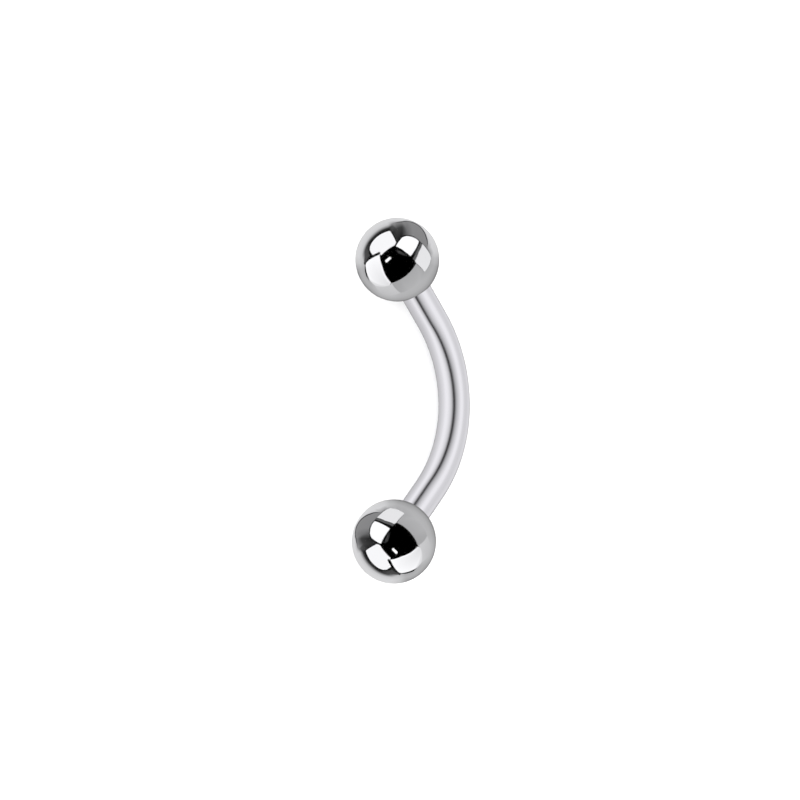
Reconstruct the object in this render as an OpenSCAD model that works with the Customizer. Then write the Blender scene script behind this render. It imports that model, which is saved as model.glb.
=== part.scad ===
// Curved barbell for an eyebrow piercing: a bent bar with a ball screwed on each end.
// It lies the way it comes to rest on a table, with both balls and the middle of the bend
// touching z = 0. The line between the balls runs along Y, and the bend bulges to +X.

/* [Bar] */
// Thickness of the bar (16 gauge is 3/64 inch)
bar_d = 1.19; // [1:0.01:1.3]
// Radius of the bend, to the middle of the bar
bend_r = 5.38; // [5:0.02:6]
// Half of the angle that the bar turns through, in degrees
bend_half = 37.2; // [32:0.1:38]
// Straight distance between the mouths of the two balls
wear_len = 8.44; // [8:0.02:10]

/* [Balls] */
// Diameter of each ball (1/8 inch)
ball_d = 3.175; // [3:0.025:4]
// Width of the bevel round the mouth of each ball's hole
mouth_bevel = 0.06; // [0.05:0.01:0.08]

/* [Thread] */
// Length of each threaded end, from the seat in the ball's mouth to the tip
thread_len = 2; // [1.6:0.1:2]
// Distance from one thread to the next
thread_pitch = 0.25; // [0.2:0.05:0.3]
// Depth of the thread
thread_depth = 0.12; // [0.08:0.01:0.14]
// Length of the undercut neck between the shoulder and the first thread
neck_len = 0.1; // [0.05:0.05:0.2]
// Length of the bevel at the tip
tip_bevel = 0.12; // [0.08:0.01:0.16]

/* [Fits] */
// Step from the bar down to the crests of the thread
shoulder_step = 0.04; // [0.03:0.01:0.05]
// Gap round the thread, and between the shoulder and the ball
seat_gap = 0.02; // [0.02:0.01:0.03]
// Gap between the tip of the thread and the bottom of the hole
tip_gap = 0.1; // [0.05:0.01:0.12]
// Angle of the drill point at the bottom of the hole, in degrees
drill_point = 118; // [116:1:130]

/* [Hidden] */
$fn = 96;

TOP = 1;
BOTTOM = -1;

bar_r = bar_d / 2;
ball_r = ball_d / 2;
crest_r = bar_r - shoulder_step;
root_r = crest_r - thread_depth;
hole_r = crest_r + seat_gap;
mouth_r = hole_r + mouth_bevel;

// Heights along an end's own axis, from the centre of its ball. Minus is towards the bar.
mouth_z = -sqrt(pow(ball_r, 2) - pow(mouth_r, 2));
seat_z = mouth_z + mouth_bevel;
shoulder_z = seat_z - shoulder_step;
first_thread_z = seat_z + neck_len;
tip_z = seat_z + thread_len;
hole_end_z = tip_z + tip_gap;
drill_tip_z = hole_end_z + hole_r / tan(drill_point / 2);
thread_count = floor((thread_len - neck_len - tip_bevel) / thread_pitch);

// The bar's middle line is an arc of bend_r, and then straight to the centre of each ball
ball_span = wear_len - 2 * mouth_z * cos(bend_half);
straight_len = (ball_span / 2 - bend_r * sin(bend_half)) / cos(bend_half);
bend_depth = bend_r * (1 - cos(bend_half)) + straight_len * sin(bend_half);

// At rest the bend has rolled down until its middle touches the table beside the balls
lie_tilt = asin((ball_r - bar_r) / bend_depth);
bulge_reach = bend_depth * cos(lie_tilt) + bar_r;
ball_line_x = (ball_r - bulge_reach) / 2;

// Extra angle on each half of the bend, which is then cut off square at the middle
overrun = 5;

// Colours of the polished titanium
BAR_GREY = [0.80, 0.80, 0.82];
BALL_GREY = [0.72, 0.72, 0.74];

// Tips the flat-drawn barbell over onto its bend and stands it on z = 0. Before the tip its
// bend lies in the XY plane, and the line between the balls' centres is the Y axis.
module laid_down() {
    translate([ball_line_x, 0, ball_r])
        rotate([0, lie_tilt, 0])
            children();
}

// Moves its children to the centre of a ball, with +Z pointing out along that end of the bar
module at_end(side) {
    translate([0, side * ball_span / 2, 0])
        rotate([0, 0, side * bend_half])
            rotate([-90 * side, 0, 0])
                children();
}

// One groove of the thread, as radius and height, from its lower edge to its upper edge
function groove(z) = [
    [crest_r, z],
    [root_r, z + 0.375 * thread_pitch],
    [root_r, z + 0.5 * thread_pitch],
    [crest_r, z + 0.875 * thread_pitch]
];

// The straight end of the bar: plain as far as the shoulder, then a neck and the thread,
// whose turns are cut as rings
module threaded_end() {
    rotate_extrude()
        polygon(concat(
            [[0, -straight_len], [bar_r, -straight_len], [bar_r, shoulder_z]],
            [[crest_r, seat_z], [root_r, seat_z], [root_r, first_thread_z]],
            [for (i = [0 : thread_count - 1], p = groove(first_thread_z + i * thread_pitch)) p],
            [[crest_r, tip_z - tip_bevel], [crest_r - tip_bevel, tip_z], [0, tip_z]]
        ));
}

// Half of the bar, from the middle of the bend to one tip, drawn from the bend's own centre
module half_bar() {
    intersection() {
        rotate([0, 0, bend_half]) {
            rotate_extrude(start = -bend_half - overrun, angle = bend_half + overrun)
                translate([bend_r, 0])
                    circle(r = bar_r);
            translate([bend_r, straight_len, 0])
                rotate([-90, 0, 0])
                    threaded_end();
        }
        translate([0, 0, -bar_d])
            cube([2 * bend_r, 2 * bend_r, 2 * bar_d]);
    }
}

// The hole in a ball: a bevelled mouth, a wall that clears the thread, and a drill point
module ball_hole() {
    rotate_extrude()
        polygon([
            [0, -ball_r],
            [hole_r + seat_z + ball_r, -ball_r],
            [hole_r, seat_z],
            [hole_r, hole_end_z],
            [0, drill_tip_z]
        ]);
}

module threaded_ball(side) {
    color(BALL_GREY)
        laid_down()
            at_end(side)
                difference() {
                    sphere(r = ball_r);
                    ball_hole();
                }
}

module curved_bar() {
    color(BAR_GREY)
        laid_down()
            translate([bend_depth - bend_r, 0, 0]) {
                half_bar();
                rotate([180, 0, 0])
                    half_bar();
            }
}

module top_ball() {
    threaded_ball(TOP);
}

module bottom_ball() {
    threaded_ball(BOTTOM);
}

curved_bar();
top_ball();
bottom_ball();
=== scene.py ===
import math

import bmesh
import bpy
from mathutils import Matrix, Vector


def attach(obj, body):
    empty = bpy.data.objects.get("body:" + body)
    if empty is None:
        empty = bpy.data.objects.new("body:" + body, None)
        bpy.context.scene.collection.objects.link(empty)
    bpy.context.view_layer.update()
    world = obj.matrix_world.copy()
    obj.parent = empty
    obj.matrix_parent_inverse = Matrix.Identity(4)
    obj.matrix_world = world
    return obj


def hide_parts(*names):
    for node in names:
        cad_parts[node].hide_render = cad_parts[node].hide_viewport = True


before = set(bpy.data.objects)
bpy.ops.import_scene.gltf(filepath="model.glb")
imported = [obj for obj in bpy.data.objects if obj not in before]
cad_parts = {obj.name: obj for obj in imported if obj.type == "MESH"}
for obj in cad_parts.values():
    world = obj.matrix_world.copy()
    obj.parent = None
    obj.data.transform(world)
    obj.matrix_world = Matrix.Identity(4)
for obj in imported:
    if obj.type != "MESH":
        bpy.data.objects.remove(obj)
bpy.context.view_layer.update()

# Eyebrow ring: a curved titanium barbell with two screw-on balls, lying on a pale table.
# Sizes are given in millimetres and angles in degrees. The meshes are made in metres.
mm = 0.001

barSize = {
    "width": 1.19,
    "bendRadius": 5.38,
    "bendHalf": 37.2,
    "wearLength": 8.44,
    "shoulderStep": 0.04,
    "edgeRounding": 0.012,
    "columns": 128,
    "arcRows": 60,  # along each half of the bend
    "straightRows": 8,  # along the plain part of each straight end
}
ballSize = {
    "width": 3.175,
    "mouthBevel": 0.06,
    "tipGap": 0.1,
    "drillPoint": 118,
    "lipRounding": 0.03,
    "grooveDepth": 0.045,
    "columns": 192,
    "sphereRows": 110,
}
threadSize = {
    "length": 2,
    "pitch": 0.25,
    "depth": 0.12,
    "neck": 0.1,
    "tipBevel": 0.12,
    "clearance": 0.02,
    "flank": 0.375,  # share of the pitch that each side of the V takes
    "flat": 0.125,  # share of the pitch at the root, and the same at the crest
    "growsOver": 0.5,  # turns in which it comes to its full depth
    "rowsPerTurn": 16,
}
meshMaking = {"mergeDistance": 1e-4, "sharpAngle": 32}

barRadius = barSize["width"] / 2
ballRadius = ballSize["width"] / 2
crestRadius = barRadius - barSize["shoulderStep"]
rootRadius = crestRadius - threadSize["depth"]
holeRadius = crestRadius + threadSize["clearance"]
mouthRadius = holeRadius + ballSize["mouthBevel"]

# Heights along an end's own axis from the centre of its ball, minus towards the bar
mouthHeight = -math.sqrt(ballRadius**2 - mouthRadius**2)
seatHeight = mouthHeight + ballSize["mouthBevel"]
shoulderHeight = seatHeight - barSize["shoulderStep"]
firstThread = seatHeight + threadSize["neck"]
tipHeight = seatHeight + threadSize["length"]
holeEnd = tipHeight + ballSize["tipGap"]
drillTip = holeEnd + holeRadius / math.tan(math.radians(ballSize["drillPoint"] / 2))

# The bar's middle line: an arc, then straight to the centre of each ball
bendHalf = math.radians(barSize["bendHalf"])
bendRadius = barSize["bendRadius"]
ballSpan = barSize["wearLength"] - 2 * mouthHeight * math.cos(bendHalf)
straightLength = (ballSpan / 2 - bendRadius * math.sin(bendHalf)) / math.cos(bendHalf)
bendDepth = bendRadius * (1 - math.cos(bendHalf)) + straightLength * math.sin(bendHalf)

# It lies on both balls and on the middle of the bend
lieTilt = math.asin((ballRadius - barRadius) / bendDepth)
ballLine = (ballRadius - bendDepth * math.cos(lieTilt) - barRadius) / 2
laidDown = Matrix.Translation((ballLine, 0, ballRadius)) @ Matrix.Rotation(lieTilt, 4, "Y")
flipOver = Matrix.Rotation(math.pi, 4, "X")


def linear(hexColour):
    parts = [int(hexColour[i:i + 2], 16) / 255 for i in (0, 2, 4)]
    return [c / 12.92 if c <= 0.04045 else ((c + 0.055) / 1.055) ** 2.4 for c in parts] + [1]


def addNode(tree, kind, settings=None, links=None):
    # Settings are the node's own properties, or inputs by name or number. Links are
    # inputs and the output that feeds each.
    node = tree.nodes.new(kind)
    for key, value in (settings or {}).items():
        if isinstance(key, str) and hasattr(node, key):
            setattr(node, key, value)
        else:
            node.inputs[key].default_value = value
    for key, source in (links or {}).items():
        tree.links.new(source, node.inputs[key])
    return node


def newMaterial(name):
    material = bpy.data.materials.new(name)
    material.use_nodes = True
    material.node_tree.nodes.clear()
    return material, material.node_tree


# Shapes


def axisPoint(height):
    # Centre, outward side and forward way of the bar's middle line, flat, on the top half
    past = height + straightLength
    turn = bendHalf + min(past, 0) / bendRadius
    side = Vector((math.cos(turn), math.sin(turn), 0))
    ahead = Vector((-math.sin(turn), math.cos(turn), 0))
    centre = Vector((bendDepth - bendRadius, 0, 0)) + side * bendRadius + ahead * max(past, 0)
    return centre, side, ahead


def roundedLine(corners, steps=4):
    # Rows along a line of (height, radius, rounding) corners, with the corners rounded
    rows = []
    for i, (height, radius, rounding) in enumerate(corners):
        corner = Vector((height, radius))
        if not rounding:
            rows.append((height, radius))
            continue
        start, end = (
            corner + (Vector(corners[j][:2]) - corner).normalized() * rounding
            for j in (i - 1, i + 1)
        )
        for k in range(steps + 1):
            t = k / steps
            rows.append(tuple((1 - t) ** 2 * start + 2 * t * (1 - t) * corner + t * t * end))
    return rows


def ridge(phase):
    # One turn of a V thread with narrow flats: 1 on its crest and 0 at its root
    flank, flat = threadSize["flank"], threadSize["flat"]
    if phase < flank + flat / 2:
        return max(0, 1 - phase / flank)
    return min(1, max(0, (phase - flank - flat) / flank))


def grown(distance):
    # The share of its depth that a thread has, this far in from its start or end
    return min(1, distance / (threadSize["pitch"] * threadSize["growsOver"]))


def threadRows(start, end, radiusAt):
    # These rows climb one pitch in each turn, and are held between start and end
    def climbing(base, phase):
        def at(turn):
            height = min(max(base + threadSize["pitch"] * turn, start), end)
            return height, radiusAt(height, phase)
        return at

    perTurn = threadSize["rowsPerTurn"]
    count = math.ceil((end - start) / threadSize["pitch"] * perTurn) + perTurn
    return [
        climbing(start + (k / perTurn - 1) * threadSize["pitch"], k / perTurn % 1)
        for k in range(count + 1)
    ]


def finishedPiece(name, shape):
    # Joins the seams, and shades it smooth except over its sharp edges
    bmesh.ops.remove_doubles(shape, verts=shape.verts, dist=meshMaking["mergeDistance"] * mm)
    bmesh.ops.recalc_face_normals(shape, faces=shape.faces)
    mesh = bpy.data.meshes.new(name)
    shape.to_mesh(mesh)
    shape.free()
    mesh.shade_smooth()
    mesh.set_sharp_from_angle(angle=math.radians(meshMaking["sharpAngle"]))
    piece = bpy.data.objects.new(name, mesh)
    bpy.context.scene.collection.objects.link(piece)
    print(f"{name}: {len(mesh.polygons)} faces")
    return piece


def turnedMesh(name, rows, cutAt, columns, halves):
    # Rings of points round the bar's middle line, one per row, drawn for each half. A row
    # is (height, radius), or a function of the turn that gives both. For the materials,
    # each point keeps its place across and along the piece in mm, as "grain", and how deep
    # in a machined cut it lies, as "cut", which also darkens the colour there as painted shade.
    shape = bmesh.new()
    grain = shape.verts.layers.float_vector.new("grain")
    cut = shape.verts.layers.float.new("cut")
    for half in halves:
        place = laidDown if half == "top" else laidDown @ flipOver
        way = 1 if half == "top" else -1
        grid, walk, plain = [], 0, rows[0]
        for row in rows:
            if not callable(row):
                walk += math.hypot(row[0] - plain[0], row[1] - plain[1])
                plain = row
            ring = []
            for column in range(columns + 1):
                turn = column / columns
                height, radius = row(turn) if callable(row) else row
                centre, side, ahead = axisPoint(height)
                across = radius * math.cos(2 * math.pi * turn)
                up = radius * math.sin(2 * math.pi * turn)
                point = centre + side * across + ahead.cross(side) * up
                ring.append(shape.verts.new(place @ point * mm))
                ring[-1][grain] = across, way * up, way * (walk + abs(height - plain[0]))
                ring[-1][cut] = min(1, max(0, cutAt(height, radius)))
            grid.append(ring)
        for low, high in zip(grid, grid[1:]):
            for corners in zip(low, low[1:], high[1:], high):
                shape.faces.new(corners)
    return finishedPiece(name, shape)


def screwRadius(height, phase):
    # The ridge grows out of the neck, and the bevel at the tip cuts it down again
    ridgeRadius = rootRadius + threadSize["depth"] * ridge(phase) * grown(height - firstThread)
    bevel = crestRadius - max(0, height - tipHeight + threadSize["tipBevel"])
    return min(ridgeRadius, bevel)


def barRows():
    # From the middle of the bend to the middle of the tip
    arcRows, straightRows, rounding = (
        barSize[key] for key in ("arcRows", "straightRows", "edgeRounding")
    )
    arcStart = -straightLength - bendHalf * bendRadius
    plainEnd = shoulderHeight - 3 * rounding  # a short way before the shoulder's rounding
    plainLength = plainEnd + straightLength
    rows = [
        (arcStart + k / arcRows * bendHalf * bendRadius, barRadius) for k in range(arcRows)
    ]
    rows += [
        (k / straightRows * plainLength - straightLength, barRadius) for k in range(straightRows)
    ]
    rows += roundedLine([
        (plainEnd, barRadius, 0),
        (shoulderHeight, barRadius, rounding),
        (seatHeight, crestRadius, rounding),
        (seatHeight, rootRadius, rounding),
        (firstThread, rootRadius, 0),
    ])
    rows += threadRows(firstThread, tipHeight, screwRadius)[1:-1]
    rows += [(tipHeight, rootRadius), (tipHeight, rootRadius / 2), (tipHeight, 0)]
    return rows


def barCut(height, radius):
    # 1 at the bottom of the thread, and at the flat tip too
    if height < shoulderHeight:
        return 0
    return (barRadius - radius) / (barRadius - rootRadius)


def tappedRadius(height, phase, start, end):
    # The groove runs out at both ends of the tapped stretch
    fromEnd = min(height - start, end - height)
    return holeRadius + ballSize["grooveDepth"] * ridge(phase) * grown(fromEnd)


def ballRows():
    # From the outer pole over the sphere to the mouth, and down the hole to the drill point
    sphereRows, rounding = ballSize["sphereRows"], ballSize["lipRounding"]
    mouthAngle = math.pi - math.asin(mouthRadius / ballRadius)
    lipAngle = mouthAngle - 2 * rounding / ballRadius
    rows = [
        (ballRadius * math.cos(a), ballRadius * math.sin(a))
        for a in (lipAngle * k / sphereRows for k in range(sphereRows))
    ]
    lip = [
        (ballRadius * math.cos(a), ballRadius * math.sin(a), 0)
        for a in (lipAngle, mouthAngle - rounding / ballRadius)
    ]
    start, end = seatHeight + threadSize["neck"], tipHeight - threadSize["pitch"]
    rows += roundedLine([
        *lip,
        (mouthHeight, mouthRadius, rounding / 2),
        (seatHeight, holeRadius, barSize["edgeRounding"]),
        (start, holeRadius, 0),
    ])
    rows += threadRows(start, end, lambda h, phase: tappedRadius(h, phase, start, end))[1:-1]
    rows += [(end, holeRadius), (holeEnd, holeRadius), ((holeEnd + drillTip) / 2, holeRadius / 2)]
    return rows + [(drillTip, 0)]


def ballCut(height, radius):
    # 0 on the sphere, and 1 in the hole once it is past the bevel
    fadesOver = 3 * ballSize["mouthBevel"]
    return (ballRadius - math.hypot(height, radius)) / fadesOver


curvedBar = turnedMesh(
    "titaniumBar", barRows(), barCut, barSize["columns"], ["bottom", "top"]
)
balls = {
    end: turnedMesh(f"titaniumBall_{end}", ballRows(), ballCut, ballSize["columns"], [end])
    for end in ("top", "bottom")
}

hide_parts("curved_bar")
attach(curvedBar, "bar")
for end, ball in balls.items():
    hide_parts(f"{end}_ball")
    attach(ball, f"{end}_ball")
# In the photograph no piece mirrors another
for piece in (curvedBar, *balls.values()):
    piece.visible_glossy = False


# Camera, above the table. The bend slopes away from it, and it leans a little towards the
# bottom ball, as in the photograph.
camera = {
    "lens": 600,
    "sensor": 36,
    "bendSlope": 35,  # angle between the plane of the bend and the picture
    "lean": 8.07,
    "frameWidth": 30.23,  # how wide the picture is, at the line between the balls
    "roll": 0.68,
    "asideFromBalls": (0.162, 0.012),  # the ball line's middle is left of and below centre
    "nearest": 5,  # what is nearer or farther than these isn't drawn
    "farthest": 5000,
}
cameraData = bpy.data.cameras.new("camera")
cameraData.lens, cameraData.sensor_width = camera["lens"], camera["sensor"]
cameraData.clip_start, cameraData.clip_end = camera["nearest"] * mm, camera["farthest"] * mm
cameraObject = bpy.data.objects.new("camera", cameraData)
bpy.context.scene.collection.objects.link(cameraObject)
bpy.context.scene.camera = cameraObject
cameraAway = camera["frameWidth"] * camera["lens"] / camera["sensor"]
cameraTurn = (
    Matrix.Rotation(lieTilt - math.radians(camera["bendSlope"]), 4, "Y")
    @ Matrix.Rotation(math.radians(camera["lean"]), 4, "X")
    @ Matrix.Rotation(math.radians(camera["roll"]), 4, "Z")
)
ballMiddle = Matrix.Translation(Vector((ballLine, 0, ballRadius)) * mm)
cameraObject.matrix_world = (
    ballMiddle
    @ cameraTurn
    @ Matrix.Translation(Vector((*camera["asideFromBalls"], cameraAway)) * mm)
)
print("camera placed")


# Studio: a pale table, even light all round, and light cards that only the metal mirrors

tableSize = {"reach": 900, "colour": "F5F5F5", "roughness": 0.85}
evenLight = {"colour": "FFFFFF", "strength": 2.0}
cardAway = 120  # how far the cards stand from the ball or bar that mirrors them


def mirroredWay(u, v):
    # The way to what a ball mirrors at the point (u, v) of its disc, in camera axes
    w = math.sqrt(max(0, 1 - u * u - v * v))
    return Vector((2 * w * u, 2 * w * v, 2 * w * w - 1))


def glowMaterial():
    # A lit card that lets the light of those behind it through
    material, tree = newMaterial("litCard")
    glow = addNode(tree, "ShaderNodeAttribute", {"attribute_name": "glow"})
    lit = addNode(tree, "ShaderNodeEmission", links={"Strength": glow.outputs["Fac"]})
    clear = addNode(tree, "ShaderNodeBsdfTransparent")
    both = addNode(tree, "ShaderNodeAddShader", links={0: lit.outputs[0], 1: clear.outputs[0]})
    addNode(tree, "ShaderNodeOutputMaterial", links={"Surface": both.outputs[0]})
    material.cycles.emission_sampling = "NONE"
    return material


litCard = glowMaterial()


def lightCards(name, centre, cards, lit, turn):
    # Each card is a list of (way, glow) corners round centre. Only the pieces in lit get
    # their light, and only as a mirror image.
    aim = cameraObject.matrix_world.to_3x3() @ Matrix.Rotation(math.radians(turn), 3, "Z")
    points, faces, glows = [], [], []
    for card in cards:
        faces.append(range(len(points), len(points) + len(card)))
        for way, glow in card:
            points.append((centre + aim @ way * cardAway) * mm)
            glows.append(glow)
    mesh = bpy.data.meshes.new(name)
    mesh.from_pydata(points, [], faces)
    mesh.attributes.new("glow", "FLOAT", "POINT").data.foreach_set("value", glows)
    mesh.materials.append(litCard)
    board = bpy.data.objects.new(name, mesh)
    bpy.context.scene.collection.objects.link(board)
    board.visible_camera = board.visible_diffuse = board.visible_shadow = False
    board.visible_transmission = board.visible_volume_scatter = False
    receivers = bpy.data.collections.new(name)
    for piece in lit:
        receivers.objects.link(piece)
    board.light_linking.receiver_collection = receivers


# What the top ball mirrors: the light of each card, and its (u, v) corners in shares of the
# ball's radius. A corner may have its own light. The bottom ball has the same cards, turned.
cardTurn = {"top": -0.4, "bottom": 93.1}
window = {
    "upperLeft": (1.28, [
        (-0.17, 0.685), (-0.02, 0.41), (-0.05, 0.34), (-0.37, 0.10), (-0.41, 0.12),
        (-0.39, 0.16), (-0.42, 0.182), (-0.51, 0.148), (-0.58, 0.105), (-0.645, 0.21),
        (-0.645, 0.30), (-0.61, 0.385), (-0.54, 0.475), (-0.43, 0.575), (-0.30, 0.645),
    ]),
    "upperRight": (1.38, [
        (-0.02, 0.315), (0.02, 0.39), (0.13, 0.53), (0.23, 0.565), (0.36, 0.545),
        (0.46, 0.50), (0.525, 0.44), (0.33, 0.08), (0.23, 0.17), (0.11, 0.25),
    ]),
    "right": (1.08, [
        (0.61, 0.38), (0.69, 0.29), (0.785, 0.15), (0.825, 0.05), (0.775, -0.12),
        (0.67, -0.29), (0.47, -0.09), (0.435, -0.03), (0.525, 0.18),
    ]),
    "lowerLeft": (1.36, [
        (-0.41, 0.115), (-0.405, 0.03), (-0.345, -0.17), (-0.275, -0.37), (-0.135, -0.555, 1.15),
        (-0.16, -0.62, 1), (-0.53, -0.62, 1), (-0.645, -0.51, 1), (-0.69, -0.41), (-0.74, -0.22),
        (-0.75, -0.14), (-0.735, -0.085), (-0.68, -0.035), (-0.57, 0.042), (-0.44, 0.10),
    ]),
    "belowLeft": (0.82, [
        (-0.53, -0.62), (-0.16, -0.62), (-0.12, -0.565), (0.10, -0.80, 0.75),
        (-0.17, -0.86, 0.7), (-0.39, -0.79, 0.7),
    ]),
    "belowRight": (0.54, [
        (-0.12, -0.565, 0.5), (0.10, -0.475), (0.31, -0.31), (0.46, -0.10), (0.67, -0.29),
        (0.53, -0.56, 0.64), (0.31, -0.72, 0.62), (0.10, -0.80),
    ]),
    "betweenRight": (0.14, [
        (0.56, 0.42), (0.605, 0.38), (0.52, 0.18), (0.43, -0.02), (0.38, 0.01), (0.47, 0.21),
    ]),
    "lamp": (1.5, [
        (-0.285, -0.035), (-0.17, 0.065), (-0.13, 0.025), (-0.245, -0.08),
    ]),
    "glint": (0.09, [
        (-0.02, 0.225, 0.03), (0.07, 0.205), (0.18, 0.14), (0.26, 0.07, 0.02), (0.14, 0.105),
        (0.035, 0.145, 0.05),
    ]),
}
# The dim board above the window: points along its outer and its inner edge, and its look
dimBoard = [
    ((-0.80, -0.08), (-0.75, -0.07), "wedge"), ((-0.84, 0.08), (-0.64, 0.09), "wedge"),
    ((-0.82, 0.22), (-0.68, 0.18), "wedge"), ((-0.737, 0.425), (-0.64, 0.37), "fading"),
    ((-0.598, 0.604), (-0.51, 0.51), "fading"), ((-0.427, 0.74), (-0.36, 0.63), "fading"),
    ((-0.225, 0.83), (-0.175, 0.70), "fading"), ((-0.12, 0.875), (-0.13, 0.61), "bend"),
    ((-0.01, 0.885), (0, 0.41), "corner"),
    ((0.12, 0.90), (0.12, 0.555), "corner"), ((0.23, 0.92), (0.22, 0.59), "turning"),
    ((0.38, 0.89), (0.37, 0.57), "grey"), ((0.51, 0.82), (0.48, 0.51), "grey"),
    ((0.62, 0.70), (0.55, 0.44), "grey"), ((0.69, 0.55), (0.61, 0.39), "grey"),
    ((0.73, 0.39), (0.67, 0.33), "grey"), ((0.72, 0.28), (0.71, 0.28), "grey"),
]
# The light of each look at the outer edge, partway in and at the inner edge, and how far
# in partway is
boardLooks = {
    "wedge": ((0.8, 0.10, 0.08), 0.4),
    "fading": ((0.8, 0.04, 0.004), 0.58),
    "bend": ((0.45, 0.13, 0.02), 0.25),
    "corner": ((0.32, 0.07, 0.02), 0.33),
    "turning": ((0.32, 0.23, 0.14), 0.5),
    "grey": ((0.33, 0.33, 0.32), 0.5),
}
# The white tent behind them: the edge where it starts, some corners with their own light
tentEdge = [
    (0.72, 0.28, 0.42), (0.745, 0.39), (0.71, 0.56), (0.635, 0.71), (0.525, 0.83),
    (0.39, 0.905), (0.23, 0.935), (0.12, 0.92), (-0.01, 0.895, 0.6), (-0.12, 0.875, 0.6),
    (-0.225, 0.83), (-0.427, 0.74), (-0.598, 0.604), (-0.737, 0.425), (-0.82, 0.22),
    (-0.84, 0.08), (-0.80, -0.08), (-0.765, -0.14), (-0.77, -0.21), (-0.765, -0.28),
    (-0.725, -0.42), (-0.645, -0.51), (-0.53, -0.62, 0.7), (-0.39, -0.79, 0.7),
    (-0.17, -0.86, 0.7), (0.10, -0.80, 0.64), (0.31, -0.72, 0.64), (0.53, -0.56, 0.64),
    (0.67, -0.29), (0.785, -0.12), (0.83, 0.05), (0.79, 0.155, 0.42), (0.72, 0.28, 0.42),
]
# Its light from there to the rim: share of the way, light on the bright side and on the
# other. It dims at the rim, where a ball mirrors its own shadow on the table.
tentRings = [
    (0, 0.8, 0.56), (0.45, 0.9, 0.6), (0.8, 0.84, 0.46), (0.9, 0.82, 0.32),
    (0.95, 0.66, 0.26), (0.985, 0.4, 0.2), (1, 0.2, 0.2),
]
brightSide = {"middle": 97, "halfWidth": 91, "blend": 16}
# The disc that all these outlines were measured on is a little off the ball's own
measuredDisc = {"aside": 0.0145, "size": 0.9865}


def onDisc(u, v):
    return (u - measuredDisc["aside"]) * measuredDisc["size"], v * measuredDisc["size"]


def joinedCards(rows):
    # Cards between each row of (way, glow) corners and the next
    return [
        [here[k], there[k], there[k + 1], here[k + 1]]
        for here, there in zip(rows, rows[1:])
        for k in range(len(here) - 1)
    ]


def boardRows():
    rows = []
    for outer, inner, look in dimBoard:
        lights, share = boardLooks[look]
        partway = [a + (b - a) * share for a, b in zip(outer, inner)]
        places = (outer, partway, inner)
        rows.append([
            (mirroredWay(*onDisc(*place)), light) for place, light in zip(places, lights)
        ])
    return rows


def angleApart(one, other):
    return abs((one - other + 180) % 360 - 180)


def tentRows():
    rows = []
    for edgeU, edgeV, *own in tentEdge:
        u, v = onDisc(edgeU, edgeV)
        reach = math.hypot(u, v)
        off = angleApart(math.degrees(math.atan2(v, u)), brightSide["middle"])
        lean = min(1, max(0, 0.5 + (brightSide["halfWidth"] - off) / brightSide["blend"]))
        row = []
        for share, bright, dim in tentRings:
            out = (reach + share * (1 - reach)) / reach
            glow = own[0] if own and not share else dim + (bright - dim) * lean
            row.append((mirroredWay(u * out, v * out), glow))
        rows.append(row)
    return rows


def ballCards():
    cards = [
        [(mirroredWay(*onDisc(u, v)), own[0] if own else light) for u, v, *own in corners]
        for light, corners in window.values()
    ]
    return cards + joinedCards(boardRows()) + joinedCards(tentRows())


# The bar lies between long straight lights, with a dark gap over it: the angle round from
# the gap, and the light there on the inner and on the outer side
longLights = [
    (3.4, 0.04, 0.04), (5.5, 0.18, 0.12), (18, 0.73, 0.54), (34, 0.98, 0.83),
    (50, 1.10, 1.08), (64, 1.07, 1.08), (80, 0.93, 0.86), (100, 0.82, 0.81),
    (118, 0.72, 0.86), (135, 0.68, 0.90), (150, 0.56, 0.74), (165, 0.34, 0.36),
    (180, 0.12, 0.12),
]
# How the lights lie: the gap is a little to the inner side, and they are turned in the
# picture and tipped away from the camera at the top
lightsLie = {"aside": -2.6, "turn": -6, "tip": -16}
# They end in dim boards: how far up or down these are, and the share of the light there
lightsEnd = [(0, 1), (30, 1), (57, 1), (64, 0.75), (72, 0.4), (89, 0.3)]


def barCards():
    turn, tip = (math.radians(lightsLie[key]) for key in ("turn", "tip"))
    lie = Matrix.Rotation(turn, 3, "Z") @ Matrix.Rotation(tip, 3, "X")
    lights = [(-angle, inner) for angle, inner, outer in reversed(longLights)]
    lights += [(angle, outer) for angle, inner, outer in longLights]
    ends = [(-height, share) for height, share in reversed(lightsEnd)] + lightsEnd[1:]
    rows = []
    for angle, light in lights:
        about = math.radians(angle + lightsLie["aside"])
        row = []
        for height, share in ends:
            up = math.radians(height)
            level = Vector((math.sin(about), 0, math.cos(about))) * math.cos(up)
            row.append((lie @ (level + Vector((0, math.sin(up), 0))), light * share))
        rows.append(row)
    return joinedCards(rows)


flatBallCentre = Vector((0, ballSpan / 2, 0))
for end, ball in balls.items():
    centre = laidDown @ (flatBallCentre if end == "top" else -flatBallCentre)
    lightCards(f"{end}BallCards", centre, ballCards(), [ball], cardTurn[end])
lightCards("barCards", laidDown @ Vector((bendDepth, 0, 0)), barCards(), [curvedBar], 0)

table = bpy.data.meshes.new("table")
reach = tableSize["reach"] * mm
tableCorners = [(x * reach, y * reach, 0) for x, y in ((-1, -1), (1, -1), (1, 1), (-1, 1))]
table.from_pydata(tableCorners, [], [range(len(tableCorners))])
tableTop = bpy.data.objects.new("table", table)
bpy.context.scene.collection.objects.link(tableTop)
tableTop.visible_glossy = False
# Matt white card: it takes soft contact shadows and gives no shine of its own
matCard, tree = newMaterial("mattWhiteCard")
white = addNode(tree, "ShaderNodeBsdfPrincipled", {
    "Base Color": linear(tableSize["colour"]), "Roughness": tableSize["roughness"],
    "Specular IOR Level": 0.0,
})
addNode(tree, "ShaderNodeOutputMaterial", links={"Surface": white.outputs[0]})
table.materials.append(matCard)

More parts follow.
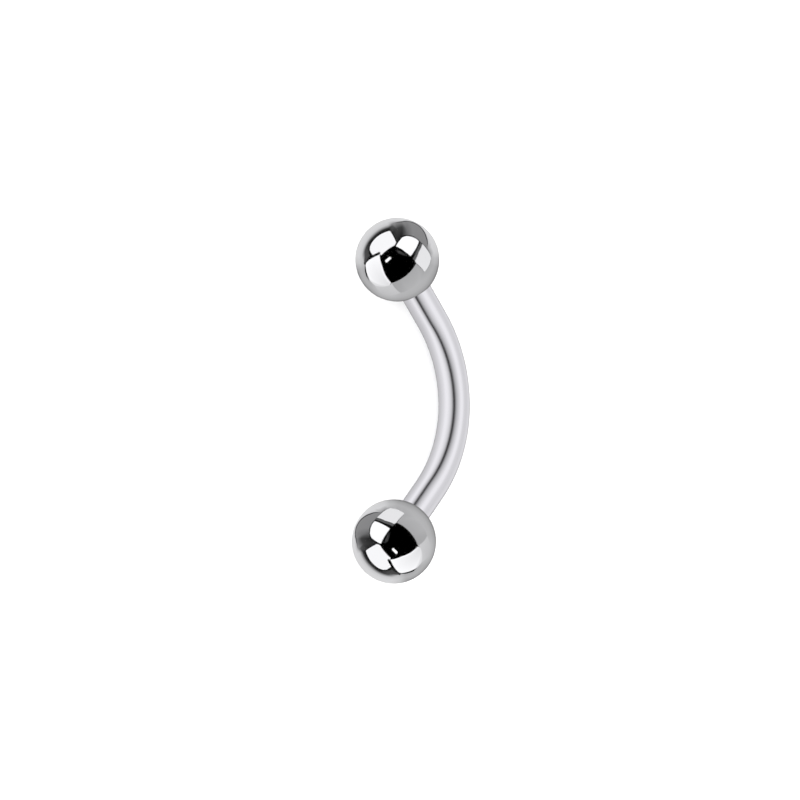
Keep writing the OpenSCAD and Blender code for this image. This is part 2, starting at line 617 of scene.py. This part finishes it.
world = bpy.data.worlds.new("softStudio")
bpy.context.scene.world = world
world.use_nodes = True
background = world.node_tree.nodes["Background"]
background.inputs["Color"].default_value = linear(evenLight["colour"])
background.inputs["Strength"].default_value = evenLight["strength"]
world.cycles_visibility.glossy = False
bpy.context.scene.view_settings.view_transform = "Standard"
print("studio lit")


# Cut metal: a duller finish, and a dark grey that is partly painted shade for the bottoms of cuts
machinedWithPaintedShade = {"colour": "7C7B7F", "roughness": 0.26}


def titanium(tree, colour, shine, relief):
    # Polished as given. Where a thread or a hole is cut it is left as machined: rougher, and
    # a darker grey painted in as shade, darkest at the bottom, where the walls of the cut
    # would shade each other. A mix node's inputs go by number: 0 is the share, 2 and 3 are
    # the numbers, 6 and 7 the colours.
    cut = addNode(tree, "ShaderNodeAttribute", {"attribute_name": "cut"}).outputs["Fac"]
    # The darker grey mixed in by depth is painted shade in the thread roots and the hole
    tintWithPaintedShade = addNode(tree, "ShaderNodeMix", {
        "data_type": "RGBA", 6: linear(colour), 7: linear(machinedWithPaintedShade["colour"]),
    }, {0: cut}).outputs[2]
    gloss = addNode(tree, "ShaderNodeMix", {
        3: machinedWithPaintedShade["roughness"],
    }, {0: cut, 2: shine}).outputs[0]
    metal = addNode(tree, "ShaderNodeBsdfPrincipled", {
        "Metallic": 1.0,
    }, {"Base Color": tintWithPaintedShade, "Roughness": gloss, "Normal": relief})
    addNode(tree, "ShaderNodeOutputMaterial", links={"Surface": metal.outputs[0]})


# Buffed titanium: turned on a lathe and buffed to a mirror. The eye gets crisp, neutral
# reflections, and close up a trace of the rings that the lathe left. Real rings are finer:
# these are as coarse as they need to be to show.
buffing = {
    "colour": "DEDEE0",
    "ringGap": 0.05,
    "ringRun": 10 / 7,  # how far each ring stays even, round the ball
    "ringHeight": 1e-4,
    "hazePatch": 0.625,  # width of the patches that the buffing wheel leaves
    "noiseRange": (0.12, 0.4),  # the noise that gives the shiniest and the dullest places
    "roughness": (0.045, 0.095),
}
buffed, tree = newMaterial("buffedTitanium")
grain = addNode(tree, "ShaderNodeAttribute", {"attribute_name": "grain"}).outputs["Vector"]
turned = addNode(tree, "ShaderNodeMapping", {
    "Scale": (1 / buffing["ringRun"], 1 / buffing["ringRun"], 1 / buffing["ringGap"]),
}, {"Vector": grain})
rings = addNode(tree, "ShaderNodeTexNoise", {
    "Scale": 1, "Detail": 4,
}, {"Vector": turned.outputs[0]}).outputs["Fac"]
haze = addNode(tree, "ShaderNodeTexNoise", {
    "Scale": 1 / buffing["hazePatch"], "Detail": 2,
}, {"Vector": grain}).outputs["Fac"]
both = addNode(tree, "ShaderNodeMath", {"operation": "MULTIPLY"}, {0: rings, 1: haze}).outputs[0]
shine = addNode(tree, "ShaderNodeMapRange", {
    "From Min": buffing["noiseRange"][0], "From Max": buffing["noiseRange"][1],
    "To Min": buffing["roughness"][0], "To Max": buffing["roughness"][1],
}, {"Value": both}).outputs[0]
relief = addNode(tree, "ShaderNodeBump", {
    "Strength": 1, "Distance": buffing["ringHeight"] * mm,
}, {"Height": rings}).outputs[0]
titanium(tree, buffing["colour"], shine, relief)
for ball in balls.values():
    ball.data.materials.append(buffed)

# Drawn titanium: pulled through a die and tumble polished. The eye gets a softer shine
# with a faint grain along the bar, whose lines are coarser than real ones, so that they show.
drawing = {
    "colour": "E2E1E6",
    "lineGap": 1 / 24,  # from one line of the die to the next
    "lineRun": 20 / 7,  # how far each line runs on, along the bar
    "lineHeight": 3e-4,
    "noiseRange": (0.3, 0.7),
    "roughness": (0.1, 0.18),
}
drawn, tree = newMaterial("drawnTitanium")
grain = addNode(tree, "ShaderNodeAttribute", {"attribute_name": "grain"}).outputs["Vector"]
pulled = addNode(tree, "ShaderNodeMapping", {
    "Scale": (1 / drawing["lineGap"], 1 / drawing["lineGap"], 1 / drawing["lineRun"]),
}, {"Vector": grain})
lines = addNode(tree, "ShaderNodeTexNoise", {
    "Scale": 1, "Detail": 3,
}, {"Vector": pulled.outputs[0]}).outputs["Fac"]
shine = addNode(tree, "ShaderNodeMapRange", {
    "From Min": drawing["noiseRange"][0], "From Max": drawing["noiseRange"][1],
    "To Min": drawing["roughness"][0], "To Max": drawing["roughness"][1],
}, {"Value": lines}).outputs[0]
relief = addNode(tree, "ShaderNodeBump", {
    "Strength": 1, "Distance": drawing["lineHeight"] * mm,
}, {"Height": lines}).outputs[0]
titanium(tree, drawing["colour"], shine, relief)
curvedBar.data.materials.append(drawn)
print("materials done")
